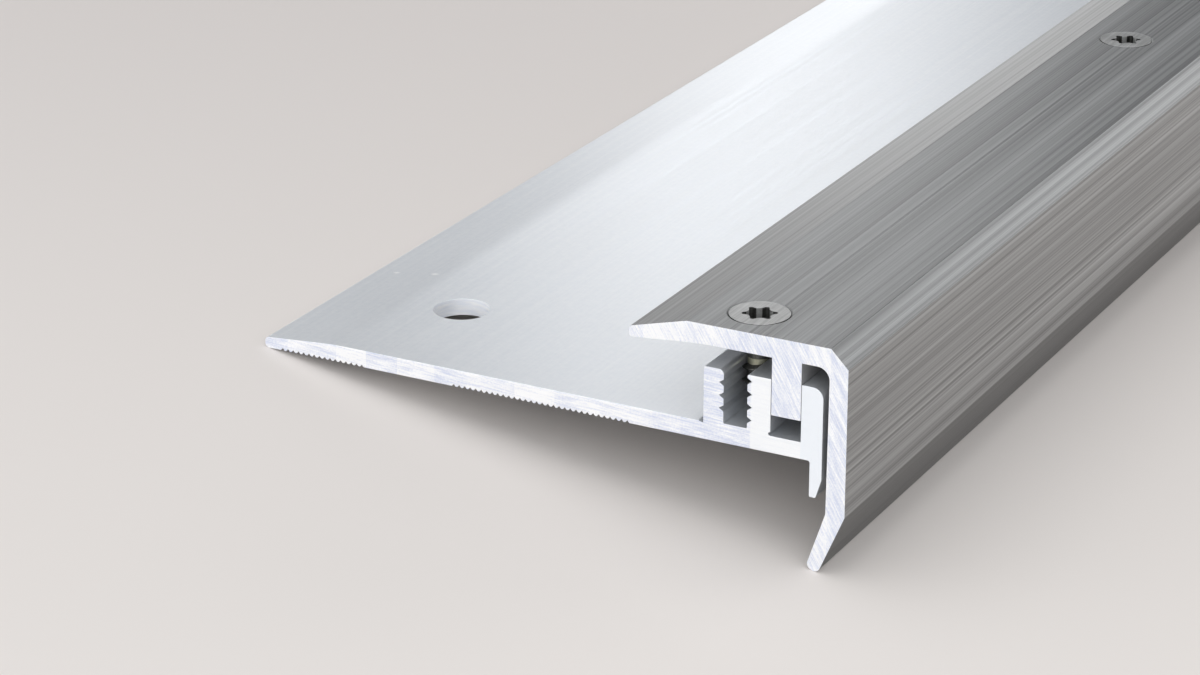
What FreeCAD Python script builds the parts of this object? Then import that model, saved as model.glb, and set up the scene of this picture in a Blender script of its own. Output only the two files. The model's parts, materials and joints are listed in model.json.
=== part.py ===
"""Stair nosing: two aluminium extrusions that hook into each other, held by countersunk screws.

The base profile is a thin plate that is screwed to the tread, with a short leg that hooks over the
stair's edge. It carries a screw channel, whose walls are notched like a thread, and a slot beside it.
The cover profile has a leg that stands in this slot, a flange that holds down the floor covering, and
a nose that covers the edge of the stair and ends in a lip turned in towards the riser.

The section is drawn upright, in X and Z, as the nosing sits on a stair: x = 0 is the riser, z = 0 is the
top of the tread, and +X points away from the stair. Both profiles run along +Y. At the end all pieces
are turned together to the pose in which the nosing lies on a level floor. Lengths are in millimetres.
"""
import FreeCAD, Part
import math
import os

# Stock length
LENGTH = 1000.0

# Plate, which thins out towards its free edge
PLATE_REACH = 67.2
PLATE_THICKNESS = 2.0
EDGE_THICKNESS = 1.25
EDGE_ROUND = 0.5
TAPER_LENGTH = 9.0

# Grip grooves along the underside, in two bands with a flat strip for the holes between them
GROOVE_PITCH = 0.69
GROOVE_DEPTH = 0.28
GROOVE_MOUTH = 0.46
OUTER_BAND_WIDTH = 10.9
OUTER_BAND_INSET = 2.3
INNER_BAND_WIDTH = 21.9
INNER_BAND_INSET = 21.4

# Holes for the screws that fix the plate to the tread
PLATE_HOLE_DIAMETER = 6.5
PLATE_HOLE_INSET = 16.24
PLATE_HOLE_COUNT = 6
PLATE_HOLE_END = 16.0

# Hook: the outer wall of the slot, which goes on below the plate as a leg along the riser
HOOK_WALL = 2.47
HOOK_LEG = 1.4
HOOK_TOP = 8.33
HOOK_TOP_ROUND = 1.35
HOOK_DROP = 4.08
HOOK_TIP = 0.75
HOOK_TIP_TAPER = 2.1
HOOK_TIP_ROUND = 0.16
RISER_CORNER_ROUND = 0.25

# Slot that takes the cover's leg, with a round relief at its foot
SLOT_WIDTH = 3.5
SLOT_FLOOR = 1.9
SLOT_RELIEF = 0.22
SLOT_RELIEF_HEIGHT = 0.4

# Screw channel between two posts
INNER_POST = 2.72
CHANNEL_WIDTH = 2.74
CHANNEL_FLOOR = 2.2
CHANNEL_FLOOR_ROUND = 0.15
OUTER_POST = 2.35
POST_TOP = 8.3
POST_TOP_ROUND = 0.2
CHANNEL_ENTRY_ROUND = 0.6
NOTCH_PITCH = 1.46
NOTCH_DEPTH = 0.55
NOTCH_MOUTH = 0.7
NOTCH_START = 0.74
NOTCH_FLOOR_GAP = 0.2

# Small groove in the plate at the foot of the outer post
FOOT_GROOVE_WIDTH = 0.6
FOOT_GROOVE_DEPTH = 0.18

# Cover flange
COVER_TOP = 13.0
FLANGE_THICKNESS = 2.27
FLANGE_REACH = 25.39
FLANGE_SLOPE_LENGTH = 6.8
FLANGE_SLOPE_DROP = 1.8
FLANGE_EDGE_THICKNESS = 1.25
FLANGE_EDGE_ROUND = 0.42
UNDERSIDE_SLOPE_LENGTH = 8.4

# Cover leg, which slides in the slot
LEG_CLEARANCE = 0.05
LEG_LENGTH = 6.46
LEG_ROUND = 0.1

# Cover nose
NOSE_GAP = 0.65
NOSE_WALL = 2.1
NOSE_WALL_AT_BEND = 2.22
NOSE_CHAMFER = 2.02
NOSE_DROP = 18.68
POCKET_ROUND = 1.4
LIP_LENGTH = 7.65
LIP_ANGLE = 22.8
LIP_TIP_THICKNESS = 1.5
LIP_TIP_ROUND = 0.7

# Countersunk screws through the flange into the channel
SCREW_COUNT = 10
SCREW_END = 5.6
SCREW_LENGTH = 9.5
HEAD_DIAMETER = 6.6
HEAD_RIM = 0.16
SEAT_CLEARANCE = 0.03
SHANK_CLEARANCE = 0.03
COVER_HOLE_DIAMETER = 4.2
SCREW_POINT = 1.3

# Six-lobed recess in the screw heads; a screw stops at any turn, and these stopped at the same one
RECESS_OVER_LOBES = 3.86
RECESS_OVER_VALLEYS = 2.77
RECESS_DEPTH = 1.15
RECESS_TURN = 28.0
LOBE_RADIUS = 0.305
LOBE_SPREAD = 74.0
LOBE_SIDES = 3

# How far a cutter reaches past the metal that it cuts
CUT_PAST = 0.3

# Places that follow from these sizes
HOOK_INNER_X = HOOK_LEG - HOOK_WALL
SLOT_INNER_X = HOOK_INNER_X - SLOT_WIDTH
CHANNEL_RIGHT_X = SLOT_INNER_X - INNER_POST
CHANNEL_LEFT_X = CHANNEL_RIGHT_X - CHANNEL_WIDTH
OUTER_POST_X = CHANNEL_LEFT_X - OUTER_POST
SCREW_X = (CHANNEL_LEFT_X + CHANNEL_RIGHT_X) / 2
PLATE_HOLE_X = PLATE_HOLE_INSET - PLATE_REACH
SHANK_DIAMETER = CHANNEL_WIDTH - 2 * SHANK_CLEARANCE
FLANGE_UNDERSIDE = COVER_TOP - FLANGE_THICKNESS
NOSE_INNER_X = HOOK_LEG + NOSE_GAP
NOSE_FACE_X = NOSE_INNER_X + NOSE_WALL
BEND_Z = COVER_TOP - NOSE_DROP


def vector(x, y, z):
    return FreeCAD.Vector(x, y, z)


def section_face(corners):
    """Face in the X-Z plane from corners (x, z, radius); a radius above zero rounds its corner."""
    points = [vector(x, 0, z) for x, z, radius in corners]
    count = len(points)
    ends = []
    for index, (x, z, radius) in enumerate(corners):
        corner = points[index]
        before = points[index - 1] - corner
        after = points[(index + 1) % count] - corner
        if radius <= 0:
            ends.append((corner, None, corner))
            continue
        half_angle = before.getAngle(after) / 2
        setback = radius / math.tan(half_angle)
        half_side = min(before.Length, after.Length) / 2
        if setback > half_side:
            setback = half_side
            radius = setback * math.tan(half_angle)
        before.normalize()
        after.normalize()
        bisector = before + after
        bisector.normalize()
        middle = corner + bisector * (radius / math.sin(half_angle) - radius)
        ends.append((corner + before * setback, middle, corner + after * setback))

    edges = []
    for index, (start, middle, end) in enumerate(ends):
        if middle is not None:
            edges.append(Part.Arc(start, middle, end).toShape())
        following = ends[(index + 1) % count][0]
        if end.distanceToPoint(following) > 1e-6:
            edges.append(Part.LineSegment(end, following).toShape())
    return Part.Face(Part.Wire(edges))


def extrude_along_stock(corners):
    """A profile of the full stock length with the section that the corners give."""
    return section_face(corners).extrude(vector(0, LENGTH, 0))


def spread_along_stock(count, end_distance):
    """Places along Y for a row that starts and ends the same distance from the cut ends."""
    pitch = (LENGTH - 2 * end_distance) / (count - 1)
    return [end_distance + index * pitch for index in range(count)]


def grooves_in(band_width):
    """How many whole grooves fit in a band."""
    return 1 + math.floor((band_width - GROOVE_MOUTH) / GROOVE_PITCH)


def grip_grooves(first_x, band_width):
    """Corners of a band of V grooves in the plate's underside, from left to right."""
    corners = []
    for index in range(grooves_in(band_width)):
        middle = first_x + index * GROOVE_PITCH
        corners.append((middle - GROOVE_MOUTH / 2, 0, 0))
        corners.append((middle, GROOVE_DEPTH, 0))
        corners.append((middle + GROOVE_MOUTH / 2, 0, 0))
    return corners


def notch_heights(first_height):
    """Heights of the notches in one wall of the screw channel, from the top down."""
    heights = []
    height = first_height
    while height - NOTCH_MOUTH / 2 > CHANNEL_FLOOR + NOTCH_FLOOR_GAP:
        heights.append(height)
        height -= NOTCH_PITCH
    return heights


def wall_notch(wall_x, depth, height, travel):
    """Corners of one notch; travel is -1 when the wall is drawn downwards and +1 when upwards."""
    half_mouth = travel * NOTCH_MOUTH / 2
    return [
        (wall_x, height - half_mouth, 0),
        (wall_x + depth, height, 0),
        (wall_x, height + half_mouth, 0),
    ]


def plate_underside():
    """From the free edge to the riser corner."""
    outer_first_x = OUTER_BAND_INSET - PLATE_REACH
    inner_last_x = -INNER_BAND_INSET
    inner_first_x = inner_last_x - (grooves_in(INNER_BAND_WIDTH) - 1) * GROOVE_PITCH
    corners = [(-PLATE_REACH, 0, EDGE_ROUND)]
    corners += grip_grooves(outer_first_x, OUTER_BAND_WIDTH)
    corners += grip_grooves(inner_first_x, INNER_BAND_WIDTH)
    corners.append((0, 0, RISER_CORNER_ROUND))
    return corners


def hook():
    """Down the riser face, round the leg's thin tip and up the outside to the slot's mouth."""
    return [
        (0, -HOOK_DROP, HOOK_TIP_ROUND),
        (HOOK_TIP, -HOOK_DROP, HOOK_TIP_ROUND),
        (HOOK_LEG, HOOK_TIP_TAPER - HOOK_DROP, HOOK_TIP_ROUND),
        (HOOK_LEG, HOOK_TOP, HOOK_TOP_ROUND),
        (HOOK_INNER_X, HOOK_TOP, LEG_ROUND),
    ]


def slot():
    """Floor of the slot with the relief at its inner corner."""
    relief_x = SLOT_INNER_X - SLOT_RELIEF
    relief_top = SLOT_FLOOR + SLOT_RELIEF_HEIGHT
    relief_round = SLOT_RELIEF_HEIGHT / 2
    return [
        (HOOK_INNER_X, SLOT_FLOOR, 0),
        (relief_x, SLOT_FLOOR, relief_round),
        (relief_x, relief_top, relief_round),
        (SLOT_INNER_X, relief_top, 0),
    ]


def screw_channel():
    """Inner post, notched channel and outer post, with half a pitch between the two walls' notches."""
    first_right = POST_TOP - NOTCH_START
    first_left = first_right - NOTCH_PITCH / 2
    corners = [
        (SLOT_INNER_X, POST_TOP, LEG_ROUND),
        (CHANNEL_RIGHT_X, POST_TOP, POST_TOP_ROUND),
    ]
    for height in notch_heights(first_right):
        corners += wall_notch(CHANNEL_RIGHT_X, NOTCH_DEPTH, height, -1)
    corners.append((CHANNEL_RIGHT_X, CHANNEL_FLOOR, CHANNEL_FLOOR_ROUND))
    corners.append((CHANNEL_LEFT_X, CHANNEL_FLOOR, CHANNEL_FLOOR_ROUND))
    for height in reversed(notch_heights(first_left)):
        corners += wall_notch(CHANNEL_LEFT_X, -NOTCH_DEPTH, height, 1)
    corners.append((CHANNEL_LEFT_X, POST_TOP, CHANNEL_ENTRY_ROUND))
    corners.append((OUTER_POST_X, POST_TOP, POST_TOP_ROUND))
    return corners


def plate_top():
    """From the outer post's foot back to the free edge."""
    groove_floor = PLATE_THICKNESS - FOOT_GROOVE_DEPTH
    groove_x = OUTER_POST_X - FOOT_GROOVE_WIDTH
    return [
        (OUTER_POST_X, groove_floor, 0),
        (groove_x, PLATE_THICKNESS, 0),
        (TAPER_LENGTH - PLATE_REACH, PLATE_THICKNESS, 0),
        (-PLATE_REACH, EDGE_THICKNESS, EDGE_ROUND),
    ]


def make_base_profile():
    outline = plate_underside() + hook() + slot() + screw_channel() + plate_top()
    profile = extrude_along_stock(outline)
    drills = []
    for y in spread_along_stock(PLATE_HOLE_COUNT, PLATE_HOLE_END):
        start = vector(PLATE_HOLE_X, y, -PLATE_THICKNESS)
        drills.append(Part.makeCylinder(PLATE_HOLE_DIAMETER / 2, 3 * PLATE_THICKNESS, start))
    return profile.cut(drills)


def lip_point(along, inwards):
    """Point of the lip, measured down its outer face from the bend and then square into the metal."""
    angle = math.radians(LIP_ANGLE)
    x = NOSE_FACE_X - along * math.sin(angle) - inwards * math.cos(angle)
    z = BEND_Z - along * math.cos(angle) + inwards * math.sin(angle)
    return x, z


def lip_corners():
    """Outer bend, the two corners of the lip's rounded tip, and the inner bend."""
    outer_x, outer_z = lip_point(LIP_LENGTH, 0)
    inner_x, inner_z = lip_point(LIP_LENGTH, LIP_TIP_THICKNESS)
    return [
        (NOSE_FACE_X, BEND_Z, 0),
        (outer_x, outer_z, LIP_TIP_ROUND),
        (inner_x, inner_z, LIP_TIP_ROUND),
        (NOSE_FACE_X - NOSE_WALL_AT_BEND, BEND_Z, 0),
    ]


def make_cover_profile():
    """Clockwise from the flange's thin edge, over the nose, round the lip and back along the inside."""
    edge_x = NOSE_FACE_X - FLANGE_REACH
    edge_top = COVER_TOP - FLANGE_SLOPE_DROP
    leg_right_x = HOOK_INNER_X - LEG_CLEARANCE
    leg_left_x = SLOT_INNER_X + LEG_CLEARANCE
    leg_foot = FLANGE_UNDERSIDE - LEG_LENGTH
    outline = [
        (edge_x, edge_top - FLANGE_EDGE_THICKNESS, FLANGE_EDGE_ROUND),
        (edge_x, edge_top, FLANGE_EDGE_ROUND),
        (edge_x + FLANGE_SLOPE_LENGTH, COVER_TOP, 0),
        (NOSE_FACE_X - NOSE_CHAMFER, COVER_TOP, 0),
        (NOSE_FACE_X, COVER_TOP - NOSE_CHAMFER, 0),
    ]
    outline += lip_corners()
    outline += [
        (NOSE_INNER_X, FLANGE_UNDERSIDE, POCKET_ROUND),
        (leg_right_x, FLANGE_UNDERSIDE, 0),
        (leg_right_x, leg_foot, LEG_ROUND),
        (leg_left_x, leg_foot, LEG_ROUND),
        (leg_left_x, FLANGE_UNDERSIDE, 0),
        (edge_x + UNDERSIDE_SLOPE_LENGTH, FLANGE_UNDERSIDE, 0),
    ]
    profile = extrude_along_stock(outline)
    drills = [screw_seat(y) for y in spread_along_stock(SCREW_COUNT, SCREW_END)]
    return profile.cut(drills)


def turned(outline, y):
    """Solid of revolution about a screw's axis, from (radius, height) points."""
    points = [vector(SCREW_X + radius, y, height) for radius, height in outline]
    face = Part.Face(Part.makePolygon(points + points[:1]))
    return face.revolve(vector(SCREW_X, y, 0), vector(0, 0, 1), 360)


def screw_seat(y):
    """Cutter for the countersink and the clearance hole below it, to the screw head's own angle."""
    mouth = HEAD_DIAMETER / 2 + HEAD_RIM + SEAT_CLEARANCE
    hole = COVER_HOLE_DIAMETER / 2
    above = COVER_TOP + CUT_PAST
    below = FLANGE_UNDERSIDE - CUT_PAST
    return turned([
        (0, above),
        (mouth + CUT_PAST, above),
        (hole, COVER_TOP - (mouth - hole)),
        (hole, below),
        (0, below),
    ], y)


def around(radius, degrees):
    """Point on a level circle about the origin."""
    return vector(radius * math.cos(math.radians(degrees)), radius * math.sin(math.radians(degrees)), 0)


def six_lobed_recess(y):
    """Cutter for the driver recess: six lobes, each drawn with a few flats, and a valley after each."""
    corners = []
    for lobe in range(6):
        direction = RECESS_TURN + 60 * lobe
        centre = around(RECESS_OVER_LOBES / 2 - LOBE_RADIUS, direction)
        for side in range(LOBE_SIDES + 1):
            swing = LOBE_SPREAD * (2 * side / LOBE_SIDES - 1)
            corners.append(centre + around(LOBE_RADIUS, direction + swing))
        corners.append(around(RECESS_OVER_VALLEYS / 2, direction + 30))
    cutter = Part.Face(Part.makePolygon(corners + corners[:1]))
    cutter = cutter.extrude(vector(0, 0, RECESS_DEPTH + CUT_PAST))
    cutter.translate(vector(SCREW_X, y, COVER_TOP - RECESS_DEPTH))
    return cutter


def make_screw(y):
    """Countersunk screw, flush with the cover; its shank stands between the channel's walls."""
    head = HEAD_DIAMETER / 2
    shank = SHANK_DIAMETER / 2
    tip = COVER_TOP - SCREW_LENGTH
    body = turned([
        (0, COVER_TOP),
        (head, COVER_TOP),
        (head, COVER_TOP - HEAD_RIM),
        (shank, COVER_TOP - HEAD_RIM - (head - shank)),
        (shank, tip + SCREW_POINT),
        (0, tip),
    ], y)
    return body.cut(six_lobed_recess(y))


def rest_tilt():
    """Angle, in degrees, between the plate and a level floor under the plate's edge and the lip's tip.

    Both touch with a rounded corner, so the floor is the common tangent below two circles.
    """
    tip_x, tip_z, tip_radius = rounded_tip()
    span_x = tip_x - (EDGE_ROUND - PLATE_REACH)
    span_z = tip_z - EDGE_ROUND
    between_centres = math.atan2(-span_z, span_x)
    radius_share = math.asin((tip_radius - EDGE_ROUND) / math.hypot(span_x, span_z))
    return math.degrees(between_centres + radius_share)


def rounded_tip():
    """Centre and radius of the round at the lip's outer corner, the lowest point of the nosing."""
    x, z = lip_point(LIP_LENGTH - LIP_TIP_ROUND, LIP_TIP_ROUND)
    return x, z, LIP_TIP_ROUND


def lay_on_floor(pieces):
    """Turn all pieces to the rest pose and put the origin at the middle of the footprint."""
    for shape in pieces.values():
        shape.rotate(vector(0, 0, 0), vector(0, 1, 0), -rest_tilt())
    box = Part.makeCompound(list(pieces.values())).optimalBoundingBox(False, False)
    shift = vector(-box.Center.x, -box.Center.y, -box.ZMin)
    for shape in pieces.values():
        shape.translate(shift)


def build():
    pieces = {
        "base_profile": make_base_profile(),
        "cover_profile": make_cover_profile(),
    }
    for number, y in enumerate(spread_along_stock(SCREW_COUNT, SCREW_END), start=1):
        pieces[f"countersunk_screw_{number:02d}"] = make_screw(y)
    lay_on_floor(pieces)
    return pieces


os.makedirs("parts", exist_ok=True)
for name, shape in build().items():
    shape.exportStep(f"parts/{name}.step")
    box = shape.BoundBox
    print(f"{name}: {len(shape.Solids)} solid, {shape.Volume:.1f} mm3, valid {shape.isValid()}, "
          f"{box.XLength:.2f} x {box.YLength:.2f} x {box.ZLength:.2f} mm")
print(f"rest tilt {rest_tilt():.3f} degrees")
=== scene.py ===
# %% [markdown]
# # A stair nosing in Blender
#
# A stair nosing protects the edge of a step and holds down the floor covering. This one is made of two
# aluminium extrusions. The base is a thin plate with a screw channel and a slot, and the cover is a
# brushed profile that hooks into the slot and wraps the edge of the stair. Countersunk screws pull the
# cover down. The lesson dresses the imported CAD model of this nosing: it keeps every size and gives each
# piece the finish of the real one.

# %% Load the frame
import json
import math

import bmesh
import bpy
from mathutils import Matrix, Vector


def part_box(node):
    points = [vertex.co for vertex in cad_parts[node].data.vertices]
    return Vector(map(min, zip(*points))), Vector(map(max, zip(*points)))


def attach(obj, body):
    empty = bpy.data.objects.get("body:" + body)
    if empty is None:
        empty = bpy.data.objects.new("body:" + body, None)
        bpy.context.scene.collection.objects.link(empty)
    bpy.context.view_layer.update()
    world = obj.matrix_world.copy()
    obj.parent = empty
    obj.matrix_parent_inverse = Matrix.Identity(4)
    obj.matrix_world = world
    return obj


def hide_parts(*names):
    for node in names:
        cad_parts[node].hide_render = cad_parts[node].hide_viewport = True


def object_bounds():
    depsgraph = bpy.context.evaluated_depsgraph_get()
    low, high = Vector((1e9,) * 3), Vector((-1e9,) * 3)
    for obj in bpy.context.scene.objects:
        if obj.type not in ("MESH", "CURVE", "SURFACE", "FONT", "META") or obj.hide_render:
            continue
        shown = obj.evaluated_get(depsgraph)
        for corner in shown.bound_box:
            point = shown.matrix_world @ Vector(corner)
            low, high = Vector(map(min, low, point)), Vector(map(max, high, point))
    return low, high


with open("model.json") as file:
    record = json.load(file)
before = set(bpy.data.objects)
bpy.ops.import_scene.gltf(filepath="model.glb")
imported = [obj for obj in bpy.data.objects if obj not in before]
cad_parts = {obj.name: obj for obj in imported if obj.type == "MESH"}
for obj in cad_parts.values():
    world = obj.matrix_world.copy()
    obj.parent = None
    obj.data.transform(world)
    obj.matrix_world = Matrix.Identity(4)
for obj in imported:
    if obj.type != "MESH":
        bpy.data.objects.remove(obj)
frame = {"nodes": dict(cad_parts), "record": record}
cad_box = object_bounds()
scene = bpy.context.scene
print("CAD box, metres:", [tuple(round(v, 4) for v in corner) for corner in cad_box])

# %% [markdown]
# ## A drawing frame of its own
#
# The nosing lies tilted on the floor, on the plate's free edge and the tip of the lip. Sizes are easier to
# read on the upright section, as a drawing has it: x is zero at the riser, z is zero at the plate's
# underside, and y starts at the near cut end. The record names both faces as mounts, so the section's
# origin is where their planes cross. One matrix then carries every upright shape to its place.

# %% Section frame
mounts = {mount["name"]: mount for mount in frame["record"]["mounts"]}
MM = 0.001
section_x = -Vector(mounts["riser_face"]["axis"])
section_z = -Vector(mounts["plate_underside"]["axis"])
on_plate = Vector(mounts["plate_underside"]["pos_m"])
on_riser = Vector(mounts["riser_face"]["pos_m"])
corner = on_plate + section_x * (on_riser - on_plate).dot(section_x)
corner.y = cad_box[0].y
UPRIGHT = Matrix((section_x, (0, 1, 0), section_z)).transposed().to_4x4()
UPRIGHT.translation = corner
print("riser corner:", [round(v, 5) for v in corner])


def place(x, y, z):
    """Point of the upright section, in millimetres, as a point of the scene."""
    return UPRIGHT @ (Vector((x, y, z)) * MM)


# %% [markdown]
# ## The camera first
#
# The picture looks down on the cut end from the front right, through a long lens, so the profiles hardly
# narrow along their length. The camera's place and turn are given on the upright section, and the same
# matrix as for the pieces carries them over. It is leaned sideways with the nosing's own tilt.

# %% Camera
CAMERA_PLACE = (140.69, -310.36, 150.69)
CAMERA_YAW = math.radians(28.05)
CAMERA_PITCH = math.radians(21.92)
LENS = 107.25
SENSOR_WIDTH = 36
NEAREST_SEEN = 0.01
FARTHEST_SEEN = 100

camera_data = bpy.data.cameras.new("camera")
camera_data.lens = LENS
camera_data.sensor_width = SENSOR_WIDTH
camera_data.clip_start = NEAREST_SEEN
camera_data.clip_end = FARTHEST_SEEN
camera = bpy.data.objects.new("camera", camera_data)
scene.collection.objects.link(camera)
turn = Matrix.Rotation(CAMERA_YAW, 4, "Z") @ Matrix.Rotation(math.pi / 2 - CAMERA_PITCH, 4, "X")
camera.matrix_world = UPRIGHT @ Matrix.Translation(Vector(CAMERA_PLACE) * MM) @ turn
scene.camera = camera
print("camera at", [round(v, 3) for v in camera.matrix_world.translation])

# %% [markdown]
# ## Small helpers for shader nodes
#
# A material is a little program of nodes. Written out one call at a time it is long and hard to read, so
# one helper adds a node, sets its options, and fills or links its inputs by name. The others are short
# words for what every finish here needs: a sum, a stretched range, a blend of two colours and a mix of
# several masks.


# %% Node helpers
def add_node(tree, kind, options=None, **inputs):
    """Adds a node; an input that is given a socket is linked, and any other value is set.

    An input goes by its name, with underscores for spaces, or by its number, as in i0 and i1.
    """
    node = tree.nodes.new(kind)
    for name, value in (options or {}).items():
        setattr(node, name, value)
    for name, value in inputs.items():
        key = int(name[1:]) if name[0] == "i" and name[1:].isdigit() else name.replace("_", " ")
        if isinstance(value, bpy.types.NodeSocket):
            tree.links.new(value, node.inputs[key])
        else:
            node.inputs[key].default_value = value
    return node


def calculate(tree, operation, first, second=0.0, third=0.0):
    """A Math node's result."""
    options = {"operation": operation}
    return add_node(tree, "ShaderNodeMath", options, i0=first, i1=second, i2=third).outputs[0]


def vector_step(tree, operation, first, second=(0, 0, 0)):
    """A Vector Math node's outputs."""
    options = {"operation": operation}
    return add_node(tree, "ShaderNodeVectorMath", options, i0=first, i1=second).outputs


def spread(tree, value, low, high, to_low=0.0, to_high=1.0):
    """Stretches a range of values to another one and cuts off what lies outside."""
    node = add_node(tree, "ShaderNodeMapRange", None, Value=value, From_Min=low, From_Max=high,
                    To_Min=to_low, To_Max=to_high)
    return node.outputs["Result"]


def blend_colours(tree, mask, first, second):
    """Goes from the first colour to the second as the mask goes from 0 to 1."""
    node = add_node(tree, "ShaderNodeMix", {"data_type": "RGBA"}, i0=mask, i6=first, i7=second)
    return node.outputs[2]


def mix_masks(tree, *layers):
    """Adds up masks, each with its share."""
    total = 0.0
    for mask, share in layers:
        total = calculate(tree, "MULTIPLY_ADD", mask, share, total)
    return total


# %% [markdown]
# ## One effect, many materials: directional grain
#
# Extruding, brushing and sawing all leave fine parallel lines, only at other widths and in other
# directions. The node group below makes such lines from noise that is squeezed across them and stretched
# along them. It mixes a fine and a broad width, because real lines never have one width only. The pattern
# runs along the input's Y direction, so a material turns its coordinates first.
#
# Noise keeps close to its middle value. Both groups stretch that narrow range, so that their masks reach
# from 0 to 1.


# %% Group: directional grain
GRAIN_RANGE = (0.34, 0.66)


def new_group(name, inputs, outputs):
    tree = bpy.data.node_groups.new(name, "ShaderNodeTree")
    for label, kind, value in inputs:
        socket = tree.interface.new_socket(label, in_out="INPUT", socket_type=kind)
        if value is not None:
            socket.default_value = value
    for label, kind in outputs:
        tree.interface.new_socket(label, in_out="OUTPUT", socket_type=kind)
    given = tree.nodes.new("NodeGroupInput").outputs
    result = tree.nodes.new("NodeGroupOutput").inputs
    return tree, given, result


def stretched_noise(tree, vector, across, along, detail):
    scale = add_node(tree, "ShaderNodeCombineXYZ", None, X=across, Y=along, Z=across).outputs[0]
    squeezed = vector_step(tree, "MULTIPLY", vector, scale)[0]
    noise = add_node(tree, "ShaderNodeTexNoise", None, Vector=squeezed, Scale=1.0, Detail=detail,
                     Roughness=0.6)
    return noise.outputs["Fac"]


grain_group, given, result = new_group(
    "directional grain",
    [("Vector", "NodeSocketVector", None), ("Fine", "NodeSocketFloat", 4000.0),
     ("Broad", "NodeSocketFloat", 700.0), ("Along", "NodeSocketFloat", 6.0)],
    [("Lines", "NodeSocketFloat"), ("Bands", "NodeSocketFloat")])
fine_noise = stretched_noise(grain_group, given["Vector"], given["Fine"], given["Along"], 3)
broad_noise = stretched_noise(grain_group, given["Vector"], given["Broad"], given["Along"], 2)
grain_group.links.new(spread(grain_group, fine_noise, *GRAIN_RANGE), result["Lines"])
grain_group.links.new(spread(grain_group, broad_noise, *GRAIN_RANGE), result["Bands"])
print(grain_group.name, "group:", len(grain_group.nodes), "nodes")

# %% [markdown]
# ## Soft unevenness
#
# No metal surface is quite even: alloy, handling and cleaning leave cloudy places that are slightly duller
# or lighter. The second group gives such clouds at two sizes. Every finish but the drilled one uses it
# faintly, because it breaks up long reflections that would look like plastic.

# %% Group: clouds
CLOUD_RANGE = (0.3, 0.7)
SPECKLES_PER_CLOUD = 40.0

cloud_group, given, result = new_group(
    "clouds",
    [("Vector", "NodeSocketVector", None), ("Scale", "NodeSocketFloat", 60.0)],
    [("Cloud", "NodeSocketFloat"), ("Speckle", "NodeSocketFloat")])
cloud = add_node(cloud_group, "ShaderNodeTexNoise", None, Vector=given["Vector"], Scale=given["Scale"],
                 Detail=4.0, Roughness=0.55).outputs["Fac"]
speckle_scale = calculate(cloud_group, "MULTIPLY", given["Scale"], SPECKLES_PER_CLOUD)
speckle = add_node(cloud_group, "ShaderNodeTexNoise", None, Vector=given["Vector"],
                   Scale=speckle_scale, Detail=2.0).outputs["Fac"]
cloud_group.links.new(spread(cloud_group, cloud, *CLOUD_RANGE), result["Cloud"])
cloud_group.links.new(spread(cloud_group, speckle, *CLOUD_RANGE), result["Speckle"])
print(cloud_group.name, "group:", len(cloud_group.nodes), "nodes")


# %% [markdown]
# ## Coordinates on the upright section
#
# Object coordinates of a finished piece are scene coordinates, since every piece sits at the origin. A
# Mapping node turns them back upright, so that X runs across the profile, Y along it and Z up, in metres.
# A second Mapping can lean them for marks that run at a slant.


# %% Material helpers
WHITE = (1.0, 1.0, 1.0, 1)


def new_material(name):
    material = bpy.data.materials.new(name)
    material.use_nodes = True
    tree = material.node_tree
    tree.nodes.clear()
    shader = tree.nodes.new("ShaderNodeBsdfPrincipled")
    output = tree.nodes.new("ShaderNodeOutputMaterial")
    tree.links.new(shader.outputs[0], output.inputs["Surface"])
    return material, tree, shader


def upright_coordinates(tree):
    back = UPRIGHT.inverted()
    lying = add_node(tree, "ShaderNodeTexCoord").outputs["Object"]
    return add_node(tree, "ShaderNodeMapping", None, Vector=lying, Location=back.translation,
                    Rotation=back.to_euler()).outputs[0]


def leaned_coordinates(tree, vector, degrees):
    """Turns the section's coordinates about the stock's own direction."""
    return add_node(tree, "ShaderNodeMapping", None, Vector=vector,
                    Rotation=(0, math.radians(degrees), 0)).outputs[0]


def split(tree, vector):
    return add_node(tree, "ShaderNodeSeparateXYZ", None, Vector=vector).outputs


def use_group(tree, group, **inputs):
    node = tree.nodes.new("ShaderNodeGroup")
    node.node_tree = group
    for name, value in inputs.items():
        if isinstance(value, bpy.types.NodeSocket):
            tree.links.new(value, node.inputs[name])
        else:
            node.inputs[name].default_value = value
    return node.outputs


def set_surface(material, shader, tone, marks, rough, metallic, bump, rough_marks=None):
    """Colour, roughness between two limits, metallic share, and a bump's strength and depth."""
    tree = material.node_tree
    if rough_marks is None:
        rough_marks = marks
    strength, depth = bump
    raised = add_node(tree, "ShaderNodeBump", None, Height=marks, Strength=strength, Distance=depth * MM)
    tree.links.new(tone, shader.inputs["Base Color"])
    tree.links.new(spread(tree, rough_marks, 0, 1, *rough), shader.inputs["Roughness"])
    tree.links.new(raised.outputs[0], shader.inputs["Normal"])
    shader.inputs["Metallic"].default_value = metallic
    print("finish:", material.name, "with", len(tree.nodes), "nodes")


# %% [markdown]
# ## Brushed and anodised cover
#
# The cover is brushed with an abrasive belt along its length and then anodised in a stainless steel tone.
# The belt leaves lines that are far longer than they are wide: sharp ones of a tenth of a millimetre and
# soft bands of about a millimetre. They go into the colour, the bump and the roughness. Anisotropy does
# the rest: light skids along a brushed surface but scatters across it. The lip that turns in below the
# front gets a darker and plainer copy of the finish, which is painted shade for a face that looks down at
# the shaded floor beside the nosing.


# %% Brushed finish
BRUSHED_ANISOTROPY = 0.5
QUARTER_TURN = 0.25
BRUSHED_RANGE = (0.17, 0.8)


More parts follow.
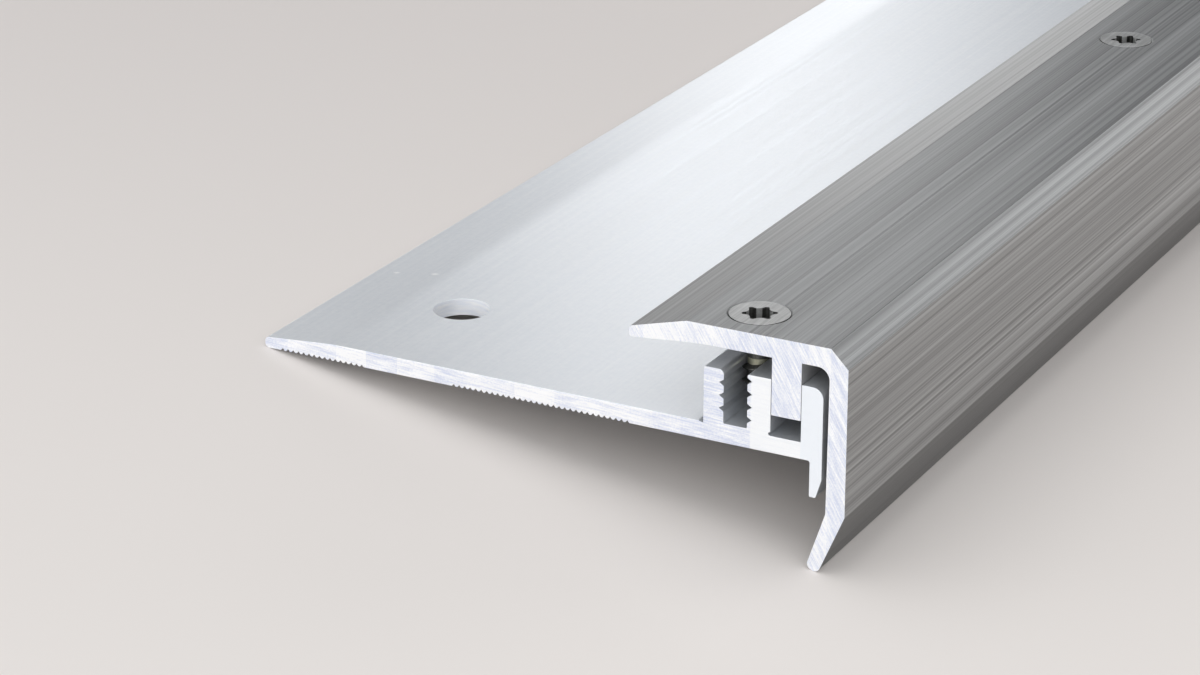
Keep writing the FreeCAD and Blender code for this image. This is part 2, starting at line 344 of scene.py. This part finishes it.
def spread_across_lines(tree, shader):
    """The brush lines run along the stock, and a quarter turn from them the light spreads widest."""
    along_stock = add_node(tree, "ShaderNodeCombineXYZ", None, Y=1.0).outputs[0]
    tree.links.new(along_stock, shader.inputs["Tangent"])
    shader.inputs["Anisotropic"].default_value = BRUSHED_ANISOTROPY
    shader.inputs["Anisotropic Rotation"].default_value = QUARTER_TURN


def brushed_material(name, dark, light):
    material, tree, shader = new_material(name)
    vector = upright_coordinates(tree)
    sharp = use_group(tree, grain_group, Vector=vector, Fine=4200.0, Broad=1500.0, Along=2.5)
    soft = use_group(tree, grain_group, Vector=vector, Fine=700.0, Broad=220.0, Along=4.0)
    clouds = use_group(tree, cloud_group, Vector=vector, Scale=25.0)
    lines = mix_masks(tree, (sharp["Lines"], 0.38), (sharp["Bands"], 0.32), (soft["Lines"], 0.2),
                      (soft["Bands"], 0.05), (clouds["Cloud"], 0.05))
    tone = blend_colours(tree, spread(tree, lines, *BRUSHED_RANGE), dark, light)
    set_surface(material, shader, tone, lines, rough=(0.34, 0.46), metallic=1.0, bump=(0.3, 0.05))
    spread_across_lines(tree, shader)
    return material


brushed = brushed_material("brushed anodised aluminium", (0.18, 0.181, 0.181, 1),
                           (0.46, 0.464, 0.465, 1))
# the lip's copy is darker: painted shade for a face that looks down at the shaded floor
painted_shade_lip = brushed_material("anodised lip in painted shade", (0.1, 0.101, 0.101, 1), (0.205, 0.207, 0.207, 1))

# %% [markdown]
# ## Inside of the cover
#
# The belt never reaches the inside of the cover, so the same anodised tone is matt there, as it left the
# die. A low Metallic stands for the fine, chalky surface of anodised extrusions: it scatters light back out
# of narrow gaps that a mirror-like metal would leave black.


# %% Plain anodised finish
def plain_anodised_material(dark, light):
    material, tree, shader = new_material("plain anodised aluminium")
    vector = upright_coordinates(tree)
    grain = use_group(tree, grain_group, Vector=vector, Fine=2600.0, Broad=500.0, Along=4.0)
    clouds = use_group(tree, cloud_group, Vector=vector, Scale=60.0)
    faint = mix_masks(tree, (grain["Lines"], 0.4), (grain["Bands"], 0.3), (clouds["Cloud"], 0.3))
    tone = blend_colours(tree, faint, dark, light)
    set_surface(material, shader, tone, faint, rough=(0.42, 0.52), metallic=0.45, bump=(0.15, 0.04))
    return material


plain_anodised = plain_anodised_material((0.42, 0.42, 0.425, 1), (0.6, 0.6, 0.605, 1))

# %% [markdown]
# ## Mill finish of the base
#
# The base stays as it left the extrusion die: a satin silver with very faint drawing lines along its
# length. Its skin of oxide scatters part of the light, so Metallic stays below 1. Two small scuffs near
# the free edge are handling marks. Each is a soft-edged oval: the distance from its middle, with the
# length along the stock squeezed, cut off by a Map Range.


# %% Mill finish
SCUFFS = [(-64.2, 23.6, 0.95), (-59.5, 24.4, 1.1)]
SCUFF_SLIMNESS = 0.7
SCUFF_FULL = 0.15
SCUFF_END = 0.55


def scuff_mask(tree, vector):
    """1 on the scuffs (x, y and length in millimetres), 0 elsewhere."""
    mask = 0.0
    for x, y, length in SCUFFS:
        from_middle = vector_step(tree, "SUBTRACT", vector, (x * MM, y * MM, 0))[0]
        squeezed = vector_step(tree, "MULTIPLY", from_middle, (1, 1 / SCUFF_SLIMNESS, 0))[0]
        distance = vector_step(tree, "LENGTH", squeezed)["Value"]
        size = length * MM
        inside = spread(tree, distance, SCUFF_FULL * size, SCUFF_END * size, 1.0, 0.0)
        mask = calculate(tree, "ADD", inside, mask)
    return mask


def mill_material(dark, light):
    material, tree, shader = new_material("mill aluminium")
    vector = upright_coordinates(tree)
    grain = use_group(tree, grain_group, Vector=vector, Fine=2600.0, Broad=400.0, Along=4.0)
    clouds = use_group(tree, cloud_group, Vector=vector, Scale=45.0)
    faint = mix_masks(tree, (grain["Lines"], 0.4), (clouds["Speckle"], 0.4), (clouds["Cloud"], 0.2))
    tone = blend_colours(tree, faint, dark, light)
    tone = blend_colours(tree, scuff_mask(tree, vector), tone, WHITE)
    set_surface(material, shader, tone, faint, rough=(0.3, 0.39), metallic=0.7, bump=(0.12, 0.04))
    return material


mill = mill_material((0.72, 0.745, 0.78, 1), (0.83, 0.845, 0.86, 1))

# %% [markdown]
# ## Saw-cut ends
#
# Each profile is cut to length on its own with a circular saw, and the teeth leave fine arcs that look
# straight over such a small section. On the cover they run steeply from upper left to lower right. On the
# base they lie almost flat, and the blade's chatter shows as patches of slightly different tone. From the
# post between channel and slot on, the base's end is made nearly white, and on the outer wall it takes a
# slightly cooler, darker tone. The patches come from a Voronoi texture of one dimension, which gives each
# stretch of the section one tone of its own.


# %% Saw-cut finish
SAWN_DARK = (0.7, 0.74, 0.87, 1)
SAWN_RANGE = (0.12, 0.66)
PATCH_SHARE = 0.35


def saw_cut_material(name, slant, patch_length, zones=()):
    """A zone is where it starts and how softly, in millimetres, how strong it is, and its colour."""
    material, tree, shader = new_material(name)
    vector = upright_coordinates(tree)
    # the marks run along the leaned X, and grain runs along Y, so the two are swapped
    leaned = split(tree, leaned_coordinates(tree, vector, slant))
    swapped = add_node(tree, "ShaderNodeCombineXYZ", None, X=leaned["Z"], Y=leaned["X"]).outputs[0]
    grain = use_group(tree, grain_group, Vector=swapped, Fine=5500.0, Broad=1500.0, Along=260.0)
    clouds = use_group(tree, cloud_group, Vector=vector, Scale=110.0)
    across = split(tree, vector)["X"]
    patches = add_node(tree, "ShaderNodeTexVoronoi", {"voronoi_dimensions": "1D"},
                       W=across, Scale=1 / (patch_length * MM)).outputs["Color"]
    patch = add_node(tree, "ShaderNodeSeparateColor", None, Color=patches).outputs[0]
    lines = mix_masks(tree, (grain["Lines"], 0.45), (grain["Bands"], 0.3), (clouds["Speckle"], 0.25),
                      (calculate(tree, "SUBTRACT", patch, 0.5), PATCH_SHARE))
    tone = blend_colours(tree, spread(tree, lines, *SAWN_RANGE), SAWN_DARK, WHITE)
    for start, softness, strength, colour in zones:
        zone = spread(tree, across, start * MM, (start + softness) * MM, 0.0, strength)
        tone = blend_colours(tree, zone, tone, colour)
    set_surface(material, shader, tone, lines, rough=(0.45, 0.6), metallic=0.4, bump=(0.2, 0.04),
                rough_marks=grain["Lines"])
    return material


# nearly white from the post between channel and slot on, and a cooler, darker tone on the outer wall
WHITE_AND_COOL_ZONES = [(-7.0, 0.2, 0.85, (0.97, 0.98, 0.98, 1)), (-1.1, 0.05, 0.7, (0.87, 0.91, 0.96, 1))]
cover_cut = saw_cut_material("saw-cut end of the cover", slant=-60.0, patch_length=2.5)
base_cut = saw_cut_material("saw-cut end of the base", slant=-3.0, patch_length=4.5, zones=WHITE_AND_COOL_ZONES)

# %% [markdown]
# ## Drilled and countersunk holes
#
# A drill leaves bright rings round the hole's axis. The holes stand upright on the section, so the rings
# are noise that is squeezed along Z. The base was drilled last and stays bright there. The cover's
# countersinks were anodised with it, so they are greyer.


# %% Drilled finish
RING_SCALE = (3500.0, 500.0, 500.0)
RING_RANGE = (0.3, 0.7)


def drilled_material(name, dark, light, metallic):
    material, tree, shader = new_material(name)
    upright = split(tree, upright_coordinates(tree))
    height_first = add_node(tree, "ShaderNodeCombineXYZ", None, X=upright["Z"], Y=upright["X"],
                            Z=upright["Y"]).outputs[0]
    scaled = vector_step(tree, "MULTIPLY", height_first, RING_SCALE)[0]
    noise = add_node(tree, "ShaderNodeTexNoise", None, Vector=scaled, Scale=1.0, Detail=3.0)
    rings = spread(tree, noise.outputs["Fac"], *RING_RANGE)
    tone = blend_colours(tree, rings, dark, light)
    set_surface(material, shader, tone, rings, rough=(0.4, 0.55), metallic=metallic, bump=(0.3, 0.05))
    return material


drilled = drilled_material("drilled aluminium", (0.86, 0.89, 0.95, 1), WHITE, 0.1)
countersunk = drilled_material("countersunk seat", (0.3, 0.3, 0.3, 1), (0.45, 0.45, 0.445, 1), 0.8)

# %% [markdown]
# ## Dressing the two extrusions
#
# The CAD meshes have the right shape, but they are loose triangles with edges sharper than any metal. A
# copy is merged into clean faces, and each face gets a finish by its place and the way it points: cut ends
# lie at the ends of the stock, hole walls stand round an axis, and the outside of a profile points up or
# forward. A Bevel modifier then breaks the edges by a few hundredths of a millimetre, so that they catch
# the light.
#
# Shading needs care on such long faces. Rounds are shaded smooth, but a bend between two wide flat faces
# stays crisp, so its edges are marked sharp. A bend of only a few degrees, such as the line where the plate
# starts to thin out, isn't crisp on an extrusion, so it is rounded first. A Weighted Normal modifier lets
# the wide faces win over the tiny bevels next to them, which keeps flats looking flat.

# %% Sizes for dressing a profile
MERGE_DISTANCE = 0.002 * MM
FLAT_WITHIN = math.radians(0.3)
WIDE_FACE_AREA = 0.0008
CREASE_FROM = math.radians(15)
SLIGHT_BEND = math.radians(0.5)
SOFT_BELOW = math.radians(8)
SOFT_BEND_WIDTH = 1.2 * MM
SOFT_BEND_STEPS = 6
EDGE_BREAK = 0.04 * MM
EDGE_BREAK_STEPS = 2
EDGE_BREAK_FROM = math.radians(28)


# %% Bends and creases
def between_wide_faces(edge):
    return all(face.calc_area() > WIDE_FACE_AREA for face in edge.link_faces)


def soften_slight_bends(shape):
    """Rounds bends that are too slight to be a crisp line, as where the plate starts to thin out."""
    slight = [edge for edge in shape.edges if len(edge.link_faces) == 2 and between_wide_faces(edge)
              and SLIGHT_BEND < edge.calc_face_angle(0) < SOFT_BELOW]
    bmesh.ops.bevel(shape, geom=slight, offset=SOFT_BEND_WIDTH, offset_type="OFFSET",
                    segments=SOFT_BEND_STEPS, profile=0.5, affect="EDGES", material=-1)
    print("soft bends:", len(slight))


def is_crease(edge):
    if len(edge.link_faces) != 2:
        return True
    bend = edge.calc_face_angle(0)
    return bend > CREASE_FROM or (between_wide_faces(edge) and bend > SLIGHT_BEND)


# %% Finish of a face
OUTSIDE, CUT_END, HOLE_WALL, INSIDE, LIP = range(5)
FRONT_FROM = 2.5 * MM
STEEPEST_WALL = 0.9
POINTS_OUT = 0.1
POINTS_DOWN = -0.2


def finish_index(face, hole_axes, hole_reach):
    """Tells by place and direction which of the five finishes a face of a profile has."""
    middle = face.calc_center_median()
    rise = face.normal.dot(section_z)
    if min(abs(middle.y - cad_box[0].y), abs(middle.y - cad_box[1].y)) < MERGE_DISTANCE:
        return CUT_END
    near_hole = any((middle - axis).cross(section_z).length < hole_reach for axis in hole_axes)
    if near_hole and abs(rise) < STEEPEST_WALL:
        return HOLE_WALL
    in_front = (middle - corner).dot(section_x) > FRONT_FROM
    points_forward = in_front and face.normal.dot(section_x) > POINTS_OUT
    # faces that point forward and down get the lip's darker finish, which is painted shade
    if points_forward and rise < POINTS_DOWN:
        return LIP
    return OUTSIDE if points_forward or rise > POINTS_OUT else INSIDE


# %% Copy, sort and bevel a profile
def dressed_profile(node_name, piece_name, finishes, hole_axes, hole_reach):
    """A copy of a CAD profile; its finishes are in the order of the five names above."""
    mesh = bpy.data.meshes.new(piece_name)
    shape = bmesh.new()
    shape.from_mesh(frame["nodes"][node_name].data)
    bmesh.ops.remove_doubles(shape, verts=shape.verts, dist=MERGE_DISTANCE)
    bmesh.ops.dissolve_limit(shape, angle_limit=FLAT_WITHIN, verts=shape.verts, edges=shape.edges,
                             delimit=set())
    soften_slight_bends(shape)
    for face in shape.faces:
        face.material_index = finish_index(face, hole_axes, hole_reach)
        face.smooth = True
    for edge in shape.edges:
        edge.smooth = not is_crease(edge)
    shape.to_mesh(mesh)
    print(piece_name, "faces:", len(shape.faces), "open edges:",
          sum(not edge.is_manifold for edge in shape.edges))
    shape.free()
    for finish in finishes:
        mesh.materials.append(finish)
    piece = bpy.data.objects.new(piece_name, mesh)
    scene.collection.objects.link(piece)
    bevel = piece.modifiers.new("edge break", "BEVEL")
    bevel.width = EDGE_BREAK
    bevel.segments = EDGE_BREAK_STEPS
    bevel.limit_method = "ANGLE"
    bevel.angle_limit = EDGE_BREAK_FROM
    bevel.use_clamp_overlap = False
    flats = piece.modifiers.new("flat faces", "WEIGHTED_NORMAL")
    flats.mode = "FACE_AREA"
    flats.weight = 100
    flats.keep_sharp = True
    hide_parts(node_name)
    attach(piece, "root")
    return piece


# %% [markdown]
# The record gives the plate's holes as pairs about the middle of the stock, and each screw of the frame
# stands where its own box says.

# %% Holes and screws
SCREW_NODES = sorted(name for name in frame["nodes"] if name.startswith("countersunk_screw"))
SCREW_X = -8.66


def middle_of(node_name):
    low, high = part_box(node_name)
    return (Vector(low) + Vector(high)) / 2


plate_hole_axes = []
for mount in mounts.values():
    if mount["kind"] == "bolt_pattern":
        reach = Vector((0, mount["dims"]["pcd_mm"] / 2 * MM, 0))
        plate_hole_axes += [Vector(mount["pos_m"]) - reach, Vector(mount["pos_m"]) + reach]
screw_places = [(middle_of(name).y - corner.y) / MM for name in SCREW_NODES]
screw_axes = [place(SCREW_X, y, 0) for y in screw_places]
print(len(plate_hole_axes), "plate holes and", len(screw_axes), "screws")

# %% The two profiles
PLATE_HOLE_REACH = 3.4 * MM
COUNTERSINK_REACH = 3.6 * MM

base = dressed_profile("base_profile", "base", (mill, base_cut, drilled, mill, mill),
                       plate_hole_axes, PLATE_HOLE_REACH)
cover_finishes = (brushed, cover_cut, countersunk, plain_anodised, painted_shade_lip)
cover = dressed_profile("cover_profile", "cover", cover_finishes, screw_axes, COUNTERSINK_REACH)

# %% [markdown]
# ## Screw steel
#
# The screws are bright zinc-plated steel. Their heads were brushed together with the cover, so the lines
# run on over them. A collar of the shank below the head keeps the yellowish tone of the plating. The
# thread, the rest of the shank, the side of the head and the deep parts of the recess are painted near
# black as shade, while the flanks of the recess's valleys get painted light.


# %% Screw finish
def screw_material(name, dark, light, rough):
    material, tree, shader = new_material(name)
    vector = upright_coordinates(tree)
    grain = use_group(tree, grain_group, Vector=vector, Fine=4200.0, Broad=1500.0, Along=60.0)
    clouds = use_group(tree, cloud_group, Vector=vector, Scale=400.0)
    marks = mix_masks(tree, (grain["Lines"], 0.6), (clouds["Cloud"], 0.4))
    tone = blend_colours(tree, marks, dark, light)
    set_surface(material, shader, tone, marks, rough=(rough, rough + 0.12), metallic=1.0,
                bump=(0.25, 0.03))
    return material


screw_finishes = (
    screw_material("screw steel", (0.3, 0.3, 0.295, 1), (0.62, 0.62, 0.61, 1), 0.34),
    # the recess finish is lighter than the head: painted light on the flanks of the recess's valleys
    screw_material("screw recess", (0.5, 0.5, 0.49, 1), (0.75, 0.75, 0.735, 1), 0.4),
    # the thread finish is near black: painted shade for the thread, the shank above the collar, the side of
    # the head and the deep parts of the recess
    screw_material("screw thread", (0.07, 0.07, 0.065, 1), (0.16, 0.16, 0.15, 1), 0.42),
    screw_material("screw shank", (0.34, 0.335, 0.25, 1), (0.5, 0.49, 0.38, 1), 0.45))
HEAD, RECESS, THREAD, COLLAR = range(4)

# %% [markdown]
# ## One screw, made once
#
# A countersunk screw is a turned part with a rolled thread and a pressed six-lobed recess. The body is an
# outline spun round the axis. The thread is one tooth that is spun while it climbs, so it becomes a
# helix, and its ends are drawn in towards the shank, as a rolled thread runs out. The recess is a lobed
# circle, extruded down with a little draft and closed with a cone. Boolean modifiers join the thread to
# the body and press the recess into the head. Sizes are in millimetres, and the height is counted down
# from the top of the head.

# %% Body of the screw
HEAD_RADIUS = 3.3
HEAD_RIM = 0.16
HEAD_EDGE = 0.03
SHANK_RADIUS = 1.2
COLLAR_TOP = -4.8
COLLAR_FOOT = -5.5
SCREW_LENGTH = 9.5
POINT_LENGTH = 1.3
POINT_SHOULDER = (0.35, 0.1)
POINT_RADIUS = 0.2
BODY_STEPS = 64
WELD_DISTANCE = 0.0002


def finished_mesh(shape, name):
    """Mesh from a bmesh, welded, with faces that point outwards."""
    bmesh.ops.remove_doubles(shape, verts=shape.verts, dist=WELD_DISTANCE)
    bmesh.ops.recalc_face_normals(shape, faces=shape.faces)
    mesh = bpy.data.meshes.new(name)
    shape.to_mesh(mesh)
    shape.free()
    return mesh


def outline_in(shape, points, closed=False):
    """Vertices and edges of an outline, given as radius and height."""
    verts = [shape.verts.new((radius, 0, height)) for radius, height in points]
    followers = verts[1:] + verts[:1] if closed else verts[1:]
    return verts + [shape.edges.new(pair) for pair in zip(verts, followers)]


def screw_body():
    tip = -SCREW_LENGTH
    shoulder, above_tip = POINT_SHOULDER
    shape = bmesh.new()
    outline = outline_in(shape, [
        (0, 0), (HEAD_RADIUS - HEAD_EDGE, 0), (HEAD_RADIUS, -HEAD_EDGE), (HEAD_RADIUS, -HEAD_RIM),
        (SHANK_RADIUS, -HEAD_RIM - (HEAD_RADIUS - SHANK_RADIUS)), (SHANK_RADIUS, COLLAR_TOP),
        (SHANK_RADIUS, COLLAR_FOOT), (SHANK_RADIUS, tip + POINT_LENGTH), (shoulder, tip + above_tip),
        (POINT_RADIUS, tip), (0, tip)])
    bmesh.ops.spin(shape, geom=outline, cent=(0, 0, 0), axis=(0, 0, 1), angle=2 * math.pi,
                   steps=BODY_STEPS, use_merge=True)
    return finished_mesh(shape, "screw body")


# %% Thread
THREAD_PITCH = 1.46
THREAD_RADIUS = 1.75
THREAD_SUNK = 0.15
THREAD_START = -5.44
THREAD_TURNS = 2.0
THREAD_STEPS = 24
TOOTH_FOOT = 0.42
TOOTH_TIP = 0.05
RUN_OUT_LENGTH = 0.8
RUN_OUT_START = 0.45
ON_TOOTH = 0.01


def run_out_share(height):
    """How far the tooth stands out at a height: all of it, and less towards both ends."""
    travelled = THREAD_START - height
    left = THREAD_PITCH * THREAD_TURNS - travelled
    nearer_end = min(travelled, left)
    return min(1.0, max(0.0, (nearer_end + RUN_OUT_START) / RUN_OUT_LENGTH))


def screw_thread():
    """The tooth starts at the right-hand wall's first notch and winds down."""
    inside = SHANK_RADIUS - THREAD_SUNK
    tooth = [(inside, TOOTH_FOOT), (THREAD_RADIUS, TOOTH_TIP), (THREAD_RADIUS, -TOOTH_TIP),
             (inside, -TOOTH_FOOT)]
    shape = bmesh.new()
    outline = outline_in(shape, [(radius, THREAD_START + height) for radius, height in tooth], closed=True)
    bmesh.ops.spin(shape, geom=outline, cent=(0, 0, 0), axis=(0, 0, 1),
                   angle=-2 * math.pi * THREAD_TURNS, steps=round(THREAD_TURNS * THREAD_STEPS),
                   dvec=(0, 0, -THREAD_PITCH / THREAD_STEPS))
    bmesh.ops.holes_fill(shape, edges=[edge for edge in shape.edges if edge.is_boundary])
    for point in shape.verts:
        radius = math.hypot(point.co.x, point.co.y)
        if radius > inside + ON_TOOTH:
            wanted = inside + (radius - inside) * run_out_share(point.co.z)
            point.co.x *= wanted / radius
            point.co.y *= wanted / radius
    return finished_mesh(shape, "screw thread")


# %% Recess
RECESS_OVER_LOBES = 3.86
RECESS_OVER_VALLEYS = 2.77
RECESS_DEPTH = 1.15
RECESS_CONE = 0.35
RECESS_DRAFT = 0.97
RECESS_TURN = math.radians(28)
RECESS_STEPS = 144
ABOVE_HEAD = 0.3
LOBE_RADIUS = 0.305
LOBE_HALF_ANGLE = math.radians(9.7)
VALLEY_RADIUS = 0.867
SIXTH_TURN = math.pi / 3


def half_chord(centre, radius, angle):
    """Half of what a circle cuts off a ray that leaves the axis at an angle to the circle's centre."""
    return math.sqrt(max(radius ** 2 - (centre * math.sin(angle)) ** 2, 0))


def recess_reach(angle):
    """Distance from the axis to the recess's wall: on a lobe's circle, or on the valley's beside it."""
    off_lobe = abs((angle - RECESS_TURN + SIXTH_TURN / 2) % SIXTH_TURN - SIXTH_TURN / 2)
    if off_lobe < LOBE_HALF_ANGLE:
        centre = RECESS_OVER_LOBES / 2 - LOBE_RADIUS
        return centre * math.cos(off_lobe) + half_chord(centre, LOBE_RADIUS, off_lobe)
    centre = RECESS_OVER_VALLEYS / 2 + VALLEY_RADIUS
    off_valley = SIXTH_TURN / 2 - off_lobe
    return centre * math.cos(off_valley) - half_chord(centre, VALLEY_RADIUS, off_valley)


def screw_recess():
    shape = bmesh.new()
    rim = bmesh.ops.create_circle(shape, cap_ends=True, segments=RECESS_STEPS, radius=1.0)["verts"]
    for point in rim:
        point.co = point.co * recess_reach(math.atan2(point.co.y, point.co.x))
        point.co.z = ABOVE_HEAD
    top = list(shape.faces)
    wall = bmesh.ops.extrude_face_region(shape, geom=top, use_keep_orig=True)["geom"]
    low = [part for part in wall if isinstance(part, bmesh.types.BMVert)]
    bmesh.ops.translate(shape, verts=low, vec=(0, 0, -ABOVE_HEAD - RECESS_DEPTH))
    bmesh.ops.scale(shape, verts=low, vec=(RECESS_DRAFT, RECESS_DRAFT, 1))
    floor_face = [part for part in wall if isinstance(part, bmesh.types.BMFace)]
    centre = bmesh.ops.poke(shape, faces=floor_face)["verts"]
    bmesh.ops.translate(shape, verts=centre, vec=(0, 0, -RECESS_CONE))
    return finished_mesh(shape, "screw recess")


# %% [markdown]
# A boolean keeps the finish of each face that it leaves, so the three shapes are painted before they are
# joined. The head's top is brushed. The recess is painted dark as shade but for the flanks of its valleys,
# which get painted light. The collar just below the flange, where light reaches, is the only part of
# the shank that is not painted dark as shade.

# %% Join and paint the screw
VALLEYS_WITHIN = 1.46
WALL_BELOW = 0.5
SCREW_MERGE_DISTANCE = 0.0005
SCREW_CREASE = math.radians(30)


def paint(part, finish_of_face):
    for finish in screw_finishes:
        part.data.materials.append(finish)
    for face in part.data.polygons:
        face.material_index = finish_of_face(face)


# below the head's top, all but the collar gets the near-black finish of painted shade
def finish_of_body(face):
    if face.center.z > -HEAD_EDGE:
        return HEAD
    return COLLAR if COLLAR_FOOT < face.center.z < COLLAR_TOP else THREAD


# the valley flanks get the lighter finish of painted light, and the rest of the recess the near-black
# finish of painted shade
def finish_of_recess(face):
    on_flank = face.center.xy.length < VALLEYS_WITHIN and abs(face.normal.z) < WALL_BELOW
    return RECESS if on_flank else THREAD


def make_screw_mesh():
    parts = [bpy.data.objects.new(mesh.name, mesh)
             for mesh in (screw_body(), screw_thread(), screw_recess())]
    body, thread, recess = parts
    for part in parts:
        scene.collection.objects.link(part)
    paint(body, finish_of_body)
    # the whole thread gets the near-black finish of painted shade
    paint(thread, lambda face: THREAD)
    paint(recess, finish_of_recess)
    for tool, operation in ((thread, "UNION"), (recess, "DIFFERENCE")):
        join = body.modifiers.new(tool.name, "BOOLEAN")
        join.operation = operation
        join.solver = "EXACT"
        join.object = tool
    state = bpy.context.evaluated_depsgraph_get()
    mesh = bpy.data.meshes.new_from_object(body.evaluated_get(state))
    for part in parts:
        bpy.data.objects.remove(part)
    shape = bmesh.new()
    shape.from_mesh(mesh)
    bmesh.ops.remove_doubles(shape, verts=shape.verts, dist=SCREW_MERGE_DISTANCE)
    print("screw faces:", len(shape.faces), "open edges:",
          sum(not edge.is_manifold for edge in shape.edges))
    shape.to_mesh(mesh)
    shape.free()
    mesh.shade_smooth()
    mesh.set_sharp_from_angle(angle=SCREW_CREASE)
    return mesh


# %% [markdown]
# The finished screw is copied to each place of the row. Millimetres become metres and the upright section
# becomes the lying one in a single matrix, baked into the mesh, so each object stays at the origin.

# %% Screws in their places
COVER_TOP = 13.0

screw_mesh = make_screw_mesh()
for number, (node_name, along) in enumerate(zip(SCREW_NODES, screw_places), start=1):
    mesh = screw_mesh.copy()
    upright = Matrix.Translation(Vector((SCREW_X, along, COVER_TOP)) * MM) @ Matrix.Scale(MM, 4)
    mesh.transform(UPRIGHT @ upright)
    screw = bpy.data.objects.new(f"screw_{number:02d}", mesh)
    scene.collection.objects.link(screw)
    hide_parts(node_name)
    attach(screw, "root")
bpy.data.meshes.remove(screw_mesh)
print("screws placed:", len(screw_places))

# %% [markdown]
# ## Floor
#
# The floor is pale and plain but falls off towards the back left: a wide and very soft round shade beside
# the nosing is painted a little darker into the floor's colour, for the camera and for reflections in
# metal. The soft light that the floor throws back still comes from a plain pale floor.

# %% Floor
FLOOR_RADIUS = 30.0
FLOOR_PALE = (0.87, 0.816, 0.769, 1)
FLOOR_PAINTED_SHADE = (0.62, 0.576, 0.551, 1)
FLOOR_FOR_LIGHT = (0.8, 0.77, 0.74, 1)
PAINTED_SHADE_MIDDLE = (-0.17, -0.34, 0)
PAINTED_SHADE_END = 0.4

floor_mesh = bpy.data.meshes.new("floor")
shape = bmesh.new()
bmesh.ops.create_circle(shape, cap_ends=True, segments=96, radius=FLOOR_RADIUS)
shape.to_mesh(floor_mesh)
shape.free()
floor = bpy.data.objects.new("floor", floor_mesh)
scene.collection.objects.link(floor)

floor_material, tree, shader = new_material("studio floor")
on_floor = add_node(tree, "ShaderNodeTexCoord").outputs["Object"]
# painted shade: the floor's colour darkens towards the middle of a round shade and is pale beyond its end
distance = vector_step(tree, "DISTANCE", on_floor, PAINTED_SHADE_MIDDLE)["Value"]
out_of_painted_shade = add_node(tree, "ShaderNodeMapRange", {"interpolation_type": "SMOOTHSTEP"}, Value=distance,
                From_Max=PAINTED_SHADE_END).outputs[0]
tone = blend_colours(tree, out_of_painted_shade, FLOOR_PAINTED_SHADE, FLOOR_PALE)
light_path = add_node(tree, "ShaderNodeLightPath").outputs
seen = calculate(tree, "MAXIMUM", light_path["Is Camera Ray"], light_path["Is Glossy Ray"])
tree.links.new(blend_colours(tree, seen, FLOOR_FOR_LIGHT, tone), shader.inputs["Base Color"])
shader.inputs["Roughness"].default_value = 0.9
shader.inputs["Specular IOR Level"].default_value = 0.1
floor_mesh.materials.append(floor_material)
print("floor radius, metres:", FLOOR_RADIUS)

# %% [markdown]
# ## Light
#
# Metal shows what stands round it, so its tone is set by the room as much as by the lamps. The world is
# bright in front of the nosing and dimmer behind it, and goes softly from one to the other. The lamps are
# large and stand metres away. Near ones would leave small bright pools on the floor and would light one
# end of the long stock more than the other.

# %% World
BACK_STRENGTH = 0.27
FRONT_STRENGTH = 1.0
BLEND_FROM = 0.3
SKY_COLOUR = (0.93, 0.96, 1.0, 1)

world = bpy.data.worlds.new("studio")
scene.world = world
world.use_nodes = True
tree = world.node_tree
tree.nodes.clear()
direction = add_node(tree, "ShaderNodeTexCoord").outputs["Object"]
strength = spread(tree, split(tree, direction)["Y"], BLEND_FROM, -BLEND_FROM, BACK_STRENGTH,
                  FRONT_STRENGTH)
sky = add_node(tree, "ShaderNodeBackground", None, Color=SKY_COLOUR, Strength=strength).outputs[0]
add_node(tree, "ShaderNodeOutputWorld", None, Surface=sky)
print("world strength:", BACK_STRENGTH, "behind,", FRONT_STRENGTH, "in front")


# %% Lamps
def area_lamp(name, stands_at, aim, width, height, watts):
    """A rectangular lamp on the upright section's frame, in millimetres, turned towards a point."""
    data = bpy.data.lights.new(name, "AREA")
    data.shape = "RECTANGLE"
    data.size = width * MM
    data.size_y = height * MM
    data.energy = watts
    lamp = bpy.data.objects.new(name, data)
    scene.collection.objects.link(lamp)
    lamp.location = place(*stands_at)
    lamp.rotation_euler = (place(*aim) - lamp.location).to_track_quat("-Z", "Y").to_euler()
    lamp.visible_camera = False
    print(name, "at", [round(v, 2) for v in lamp.location])


area_lamp("overhead light", (0, 300, 4500), (0, 300, 0), 6000, 6000, 80)
area_lamp("front light", (-1200, -5000, 2400), (0, 300, 0), 8000, 4600, 90)
area_lamp("right back light", (3000, 5200, 1100), (0, 200, 0), 3600, 2400, 49)
area_lamp("back light", (-2680, 5370, 1500), (0, 100, 0), 800, 3000, 13.5)
area_lamp("left light", (-3900, 4500, 700), (0, 0, 0), 1300, 1300, 8)

# %% Colour management
scene.view_settings.view_transform = "Standard"
